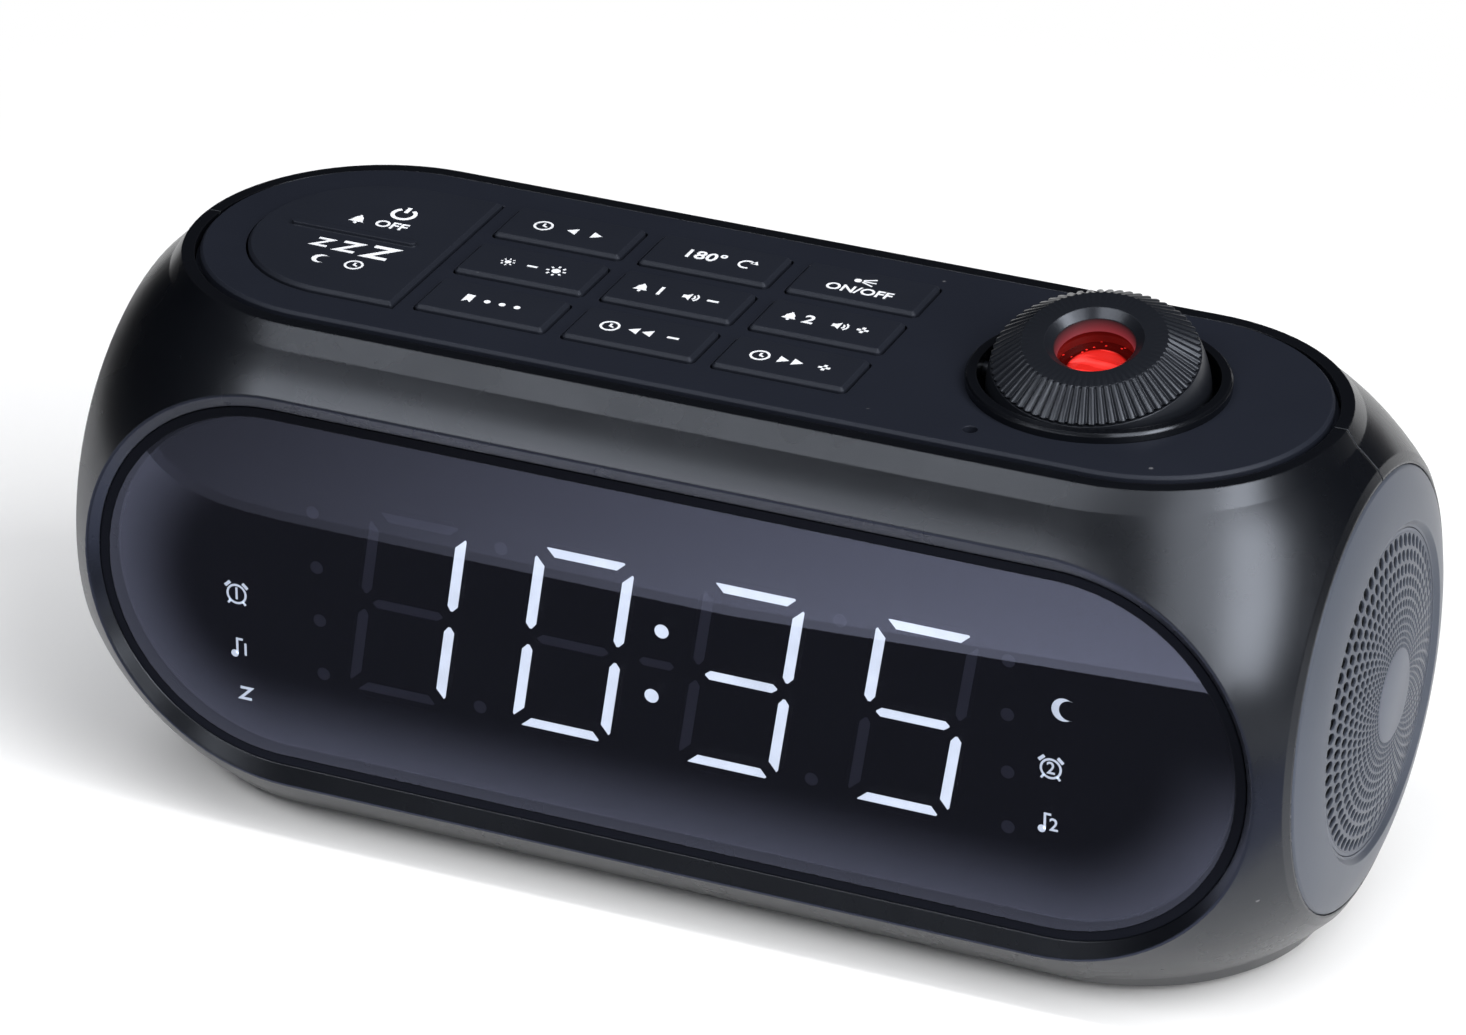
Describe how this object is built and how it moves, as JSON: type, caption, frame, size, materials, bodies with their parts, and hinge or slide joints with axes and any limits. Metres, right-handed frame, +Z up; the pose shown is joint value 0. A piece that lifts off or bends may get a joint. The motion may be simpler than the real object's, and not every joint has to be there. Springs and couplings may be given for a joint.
{
  "type": "projection alarm clock",
  "caption": "Round-ended table clock with a wide segment display, flat keys, a tilting ceiling projector on top and a perforated speaker dome at the side.",
  "frame": {"origin": "on the table, under the middle of the housing", "axes": "+Z up, front window towards -Y, projector and speaker at +X"},
  "size_m": [0.1658, 0.0624, 0.0776],
  "materials": {
    "shell_plastic": "satin black moulded ABS",
    "top_plastic": "fine matte, blue-black",
    "key_plastic": "fine matte, blue-black",
    "panel_plastic": "satin dark grey",
    "grille_plastic": "satin grey, perforated",
    "lens_plastic": "polished smoked acrylic",
    "reflector_plastic": "matte black",
    "segment_lit": "white light guide, glowing",
    "segment_dark": "white light guide, unlit behind smoke tint",
    "board": "green epoxy glass board",
    "component": "black moulded parts",
    "led": "white LED bodies",
    "head_plastic": "satin black, knurled",
    "red_lens": "polished, red light behind",
    "steel": "nickel plated",
    "speaker_metal": "black steel basket",
    "speaker_paper": "black paper cone",
    "magnet": "sintered ferrite",
    "foot_rubber": "matte black"
  },
  "bodies": {
    "housing": {"battery_cell": "steel", "battery_contact": "steel", "board_screws": "steel", "dark_segments": "segment_dark", "dc_jack": "component", "display_board": "board", "display_leds": "led", "display_reflector": "reflector_plastic", "front_lens": "lens_plastic", "front_shell": "shell_plastic", "housing_screws": "steel", "key_board": "board", "key_switches": "component", "lit_segments": "segment_lit", "main_board": "board", "main_chips": "component", "projector_bezel": "head_plastic", "projector_cup": "head_plastic", "rear_shell": "shell_plastic", "rubber_feet": "foot_rubber", "side_panel_left": "panel_plastic", "side_panel_right": "panel_plastic", "speaker_basket": "speaker_metal", "speaker_cone": "speaker_paper", "speaker_grille": "grille_plastic", "speaker_magnet": "magnet", "top_plate": "top_plastic"},
    "snooze": {"snooze_key": "key_plastic"},
    "projector_head": {"projector_ball": "head_plastic", "projector_light": "component"},
    "focus_knob": {"focus_ring": "head_plastic"},
    "focus_lens": {"lens_barrel": "component", "projector_lens": "red_lens"},
    "door": {"battery_door": "shell_plastic"},
    "key_front_1": {"key_front_1": "key_plastic"},
    "key_front_2": {"key_front_2": "key_plastic"},
    "key_front_3": {"key_front_3": "key_plastic"},
    "key_middle_1": {"key_middle_1": "key_plastic"},
    "key_middle_2": {"key_middle_2": "key_plastic"},
    "key_middle_3": {"key_middle_3": "key_plastic"},
    "key_rear_1": {"key_rear_1": "key_plastic"},
    "key_rear_2": {"key_rear_2": "key_plastic"},
    "key_rear_3": {"key_rear_3": "key_plastic"}
  },
  "joints": [
    {"name": "key_front_1_press", "type": "slide", "parent": "housing", "child": "key_front_1", "axis": [0, 0, -1], "range_m": [0, 0.0006], "stiffness_N_per_m": 1500, "springref_m": -0.0003},
    {"name": "key_front_2_press", "type": "slide", "parent": "housing", "child": "key_front_2", "axis": [0, 0, -1], "range_m": [0, 0.0006], "stiffness_N_per_m": 1500, "springref_m": -0.0003},
    {"name": "key_front_3_press", "type": "slide", "parent": "housing", "child": "key_front_3", "axis": [0, 0, -1], "range_m": [0, 0.0006], "stiffness_N_per_m": 1500, "springref_m": -0.0003},
    {"name": "key_middle_1_press", "type": "slide", "parent": "housing", "child": "key_middle_1", "axis": [0, 0, -1], "range_m": [0, 0.0006], "stiffness_N_per_m": 1500, "springref_m": -0.0003},
    {"name": "key_middle_2_press", "type": "slide", "parent": "housing", "child": "key_middle_2", "axis": [0, 0, -1], "range_m": [0, 0.0006], "stiffness_N_per_m": 1500, "springref_m": -0.0003},
    {"name": "key_middle_3_press", "type": "slide", "parent": "housing", "child": "key_middle_3", "axis": [0, 0, -1], "range_m": [0, 0.0006], "stiffness_N_per_m": 1500, "springref_m": -0.0003},
    {"name": "key_rear_1_press", "type": "slide", "parent": "housing", "child": "key_rear_1", "axis": [0, 0, -1], "range_m": [0, 0.0006], "stiffness_N_per_m": 1500, "springref_m": -0.0003},
    {"name": "key_rear_2_press", "type": "slide", "parent": "housing", "child": "key_rear_2", "axis": [0, 0, -1], "range_m": [0, 0.0006], "stiffness_N_per_m": 1500, "springref_m": -0.0003},
    {"name": "key_rear_3_press", "type": "slide", "parent": "housing", "child": "key_rear_3", "axis": [0, 0, -1], "range_m": [0, 0.0006], "stiffness_N_per_m": 1500, "springref_m": -0.0003},
    {"name": "snooze_rock", "type": "hinge", "parent": "housing", "child": "snooze", "pos_m": [-0.0512, 0, 0.0648], "axis": [1, 0, 0], "range_deg": [-2, 2], "stiffness_Nm_per_rad": 0.5},
    {"name": "projector_tilt", "type": "hinge", "parent": "housing", "child": "projector_head", "pos_m": [0.0444, 0, 0.0677], "axis": [1, 0, 0], "range_deg": [-74, 46]},
    {"name": "focus_turn", "type": "hinge", "parent": "projector_head", "child": "focus_knob", "pos_m": [0.0444, 0, 0.0677], "axis": [0, -0.2419, 0.9703], "range_deg": [-90, 90]},
    {"name": "focus_shift", "type": "slide", "parent": "projector_head", "child": "focus_lens", "axis": [0, -0.2419, 0.9703], "range_m": [-0.0007, 0.0007]},
    {"name": "door_swing", "type": "hinge", "parent": "housing", "child": "door", "pos_m": [0, 0.0018, 0.0023], "axis": [-1, 0, 0], "range_deg": [0, 80]}
  ],
  "couplings": [
    {"joint": "focus_turn", "follows": "focus_shift", "rad_per_m": 2240}
  ]
}
